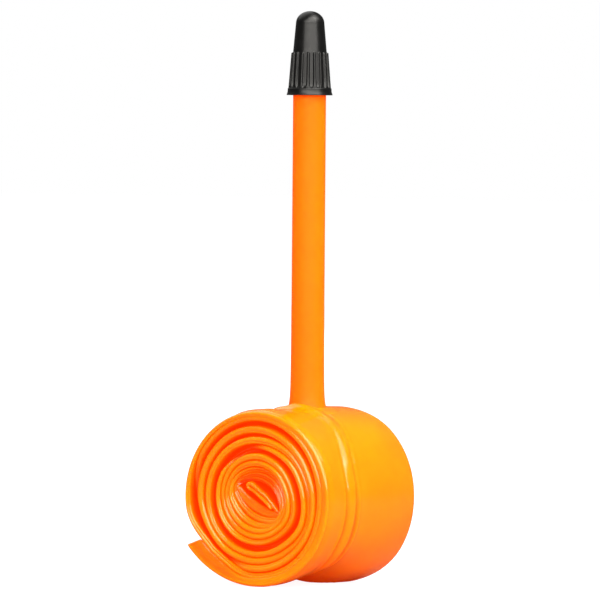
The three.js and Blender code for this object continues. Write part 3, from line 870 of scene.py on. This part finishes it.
def film_material():
    """Glossy translucent film. A painted glow, its own light, stands in for the light that comes through it
    from all sides.
    """
    m = Nodes("orange_film")
    depth = m.add("ShaderNodeAttribute", attribute_name="depth").outputs["Fac"]
    cloud = m.noise(90, 3)
    surface = m.mix(m.span(cloud, 0.35, 0.65, 0, 1), (1.0, 0.175, 0.0), (1.0, 0.2, 0.0))
    # painted shade: the colour turns deep red where the depth attribute marks film deep between laps, under
    # the tail or in a crease
    colour = m.mix(m.span(depth, 0.0, 0.6, 0, 1), surface, (1.0, 0.025, 0.0))
    m.link(colour, m.shader.inputs["Base Color"])
    m.link(m.span(m.noise(260, 4), 0.3, 0.7, 0.12, 0.19), m.shader.inputs["Roughness"])
    m.set(Subsurface_Weight=0.35, Subsurface_Radius=(1.0, 0.22, 0.03), Subsurface_Scale=0.0012)
    m.set(IOR=1.45, Specular_IOR_Level=0.65, Specular_Tint=(1.0, 0.93, 0.8, 1))
    # painted glow: an orange-red emission, a little stronger where the film lies deeper, stands in for light
    # shining through it
    m.set(Emission_Color=(1.0, 0.05, 0.0, 1))
    m.link(m.span(depth, 0.0, 0.2, 0.3, 0.45), m.shader.inputs["Emission Strength"])
    soft = m.bump(m.noise(110, 1), 0.12, 0.0003)
    m.link(m.bump(m.noise(900, 3, 0.6), 0.1, 0.00006, soft), m.shader.inputs["Normal"])
    return m.material


def stem_material():
    m = Nodes("orange_stem")
    cloud = m.noise(60, 2, stretch=(1, 1, 0.25))
    colour = m.mix(m.span(cloud, 0.35, 0.65, 0, 1), (1.0, 0.12, 0.0), (1.0, 0.14, 0.0))
    m.link(colour, m.shader.inputs["Base Color"])
    m.link(m.span(m.noise(500, 3), 0.3, 0.7, 0.36, 0.46), m.shader.inputs["Roughness"])
    m.set(Subsurface_Weight=0.4, Subsurface_Radius=(1.0, 0.22, 0.03), Subsurface_Scale=0.0015)
    m.set(IOR=1.45, Specular_IOR_Level=0.1)
    # painted glow: an orange-red emission stands in for light shining through the translucent stem
    m.set(Emission_Color=(1.0, 0.05, 0.0, 1), Emission_Strength=0.45)
    fine = m.noise(1500, 3, 0.6, stretch=(1, 1, 0.3))
    m.link(m.bump(fine, 0.12, 0.00005), m.shader.inputs["Normal"])
    return m.material


def cap_material():
    m = Nodes("black_cap_plastic")
    cloud = m.noise(400, 3)
    colour = m.mix(m.span(cloud, 0.3, 0.7, 0, 1), (0.0015, 0.0015, 0.0014), (0.003, 0.0029, 0.0028))
    m.link(colour, m.shader.inputs["Base Color"])
    m.link(m.span(m.noise(900, 4), 0.3, 0.7, 0.28, 0.36), m.shader.inputs["Roughness"])
    m.set(IOR=1.45, Specular_IOR_Level=0.47, Specular_Tint=(1.0, 0.97, 0.91, 1))
    m.link(m.bump(m.noise(2600, 4, 0.65), 0.08, 0.00003), m.shader.inputs["Normal"])
    return m.material


def metal_material(name, light, dark, roughness):
    m = Nodes(name)
    streaks = m.noise(300, 4, 0.6, stretch=(0.4, 0.4, 12))
    colour = m.mix(m.span(streaks, 0.3, 0.7, 0, 1), light, dark)
    m.link(colour, m.shader.inputs["Base Color"])
    m.link(m.span(streaks, 0.3, 0.7, roughness - 0.07, roughness + 0.1), m.shader.inputs["Roughness"])
    m.set(Metallic=1.0)
    m.link(m.bump(streaks, 0.1, 0.00002), m.shader.inputs["Normal"])
    return m.material


def rubber_material(name, light, dark, roughness):
    m = Nodes(name)
    speckle = m.noise(1800, 4, 0.6)
    colour = m.mix(m.span(speckle, 0.3, 0.7, 0, 1), light, dark)
    m.link(colour, m.shader.inputs["Base Color"])
    m.link(m.span(speckle, 0.3, 0.7, roughness - 0.08, roughness + 0.08), m.shader.inputs["Roughness"])
    m.link(m.bump(speckle, 0.3, 0.00004), m.shader.inputs["Normal"])
    return m.material


# ---------------------------------------------------------------- the pieces in place


def place(obj, material, body, node):
    obj.data.materials.clear()
    obj.data.materials.append(material)
    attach(obj, body)
    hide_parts(node)


brass = metal_material("turned_brass", (0.93, 0.7, 0.36), (0.84, 0.6, 0.28), 0.36)
nickel = metal_material("nickel_plate", (0.86, 0.84, 0.79), (0.76, 0.74, 0.7), 0.32)
washer = rubber_material("washer_plastic", (0.8, 0.79, 0.75), (0.7, 0.69, 0.65), 0.5)
rubber = rubber_material("seal_rubber", (0.02, 0.02, 0.02), (0.035, 0.034, 0.033), 0.7)
film = film_material()

place(build_tube(), film, "tube", "tube")
place(build_patch(), film, "tube", "valve_patch")
place(build_stem(), stem_material(), "tube", "valve_stem")
place(build_insert(), nickel, "tube", "stem_insert")
place(build_core_body(), brass, "valve_core", "core_body")
place(build_gasket(), washer, "valve_core", "core_gasket")
place(build_pin(), brass, "pin", "valve_pin")
place(build_seal(), rubber, "pin", "pin_seal")
place(build_cup(), brass, "pin", "seal_cup")
place(build_nut(), brass, "lock_nut", "lock_nut")
place(build_cap(), cap_material(), "dust_cap", "dust_cap")

# ---------------------------------------------------------------- floor, light and camera


def by_ray(tree, seen, shining, lighting):
    """One value for what the camera sees, one for what gloss reflects, and one for what lights the object."""
    rays = tree.nodes.new("ShaderNodeLightPath")
    value = lighting
    for output, chosen in (("Is Glossy Ray", shining), ("Is Camera Ray", seen)):
        node = tree.nodes.new("ShaderNodeMix")
        tree.links.new(rays.outputs[output], node.inputs["Factor"])
        if isinstance(value, float):
            node.inputs["A"].default_value = value
        else:
            tree.links.new(value, node.inputs["A"])
        node.inputs["B"].default_value = chosen
        value = node.outputs["Result"]
    return value


def build_floor():
    half = 6.0  # metres
    corners = [(-half, -half, 0), (half, -half, 0), (half, half, 0), (-half, half, 0)]
    mesh = bpy.data.meshes.new("studio_floor")
    mesh.from_pydata(corners, [], [(0, 1, 2, 3)])
    floor = bpy.data.objects.new("studio_floor", mesh)
    bpy.context.scene.collection.objects.link(floor)
    # white to the camera, dim to the object, as a lit table is in a photograph that is exposed for the object
    m = Nodes("white_floor")
    m.set(Roughness=0.9, Specular_IOR_Level=0.0, Emission_Color=(1, 1, 1, 1))
    m.link(by_ray(m.tree, seen=0.2, shining=0.1, lighting=0.36), m.shader.inputs["Base Color"])
    m.link(by_ray(m.tree, seen=0.93, shining=0.0, lighting=0.0), m.shader.inputs["Emission Strength"])
    mesh.materials.append(m.material)


def aim(obj, place_at, target):
    obj.location = place_at
    obj.rotation_euler = (Vector(target) - Vector(place_at)).to_track_quat("-Z", "Y").to_euler()


def direction(azimuth, elevation):
    a, e = math.radians(azimuth), math.radians(elevation)
    return Vector((math.sin(a) * math.cos(e), -math.cos(a) * math.cos(e), math.sin(e)))


def soft_box(name, azimuth, elevation, distance, width, height, power, mirrored=True):
    """A rectangular light that faces the object, in degrees, metres and watts, mirrored in gloss or not."""
    data = bpy.data.lights.new(name, "AREA")
    data.shape = "RECTANGLE"
    data.size, data.size_y = width, height
    data.energy = power
    light = bpy.data.objects.new(name, data)
    bpy.context.scene.collection.objects.link(light)
    light.visible_glossy = mirrored
    target = Vector((0, 0, 0.04))
    aim(light, target + direction(azimuth, elevation) * distance, target)


def build_world():
    world = bpy.data.worlds.new("studio")
    bpy.context.scene.world = world
    world.use_nodes = True
    tree = world.node_tree
    background = tree.nodes["Background"]
    tree.links.new(by_ray(tree, seen=1.0, shining=0.12, lighting=0.38), background.inputs["Strength"])
    background.inputs["Color"].default_value = (1, 1, 1, 1)


def build_camera():
    """The photograph's view: how wide a field it takes in at the object, in metres, and a slight roll."""
    data = bpy.data.cameras.new("photo_camera")
    camera = bpy.data.objects.new("photo_camera", data)
    bpy.context.scene.collection.objects.link(camera)
    azimuth, elevation, roll = 35, 1.3, 0.45
    distance, field = 1.5, 0.1128
    data.sensor_width = 36
    data.lens = data.sensor_width * distance / field
    data.clip_start = 0.05
    data.clip_end = 20
    target = Vector((-0.00123, -0.00086, 0.0533))
    aim(camera, target + direction(azimuth, elevation) * distance, target)
    camera.rotation_euler.rotate_axis("Z", math.radians(roll))
    bpy.context.scene.camera = camera


build_floor()
build_world()
soft_box("key_box", 60, 38, distance=1.1, width=1.3, height=1.2, power=28)
soft_box("left_box", 12, 22, distance=1.1, width=0.75, height=0.5, power=6)
soft_box("side_box", 100, 60, distance=1.3, width=1.0, height=1.0, power=10)
soft_box("back_box", 250, 50, distance=1.7, width=2.0, height=1.6, power=10)
soft_box("rear_box", 205, 20, distance=1.7, width=1.6, height=1.2, power=16, mirrored=False)
build_camera()
bpy.context.scene.view_settings.view_transform = "Standard"
bpy.context.scene.view_settings.look = "None"
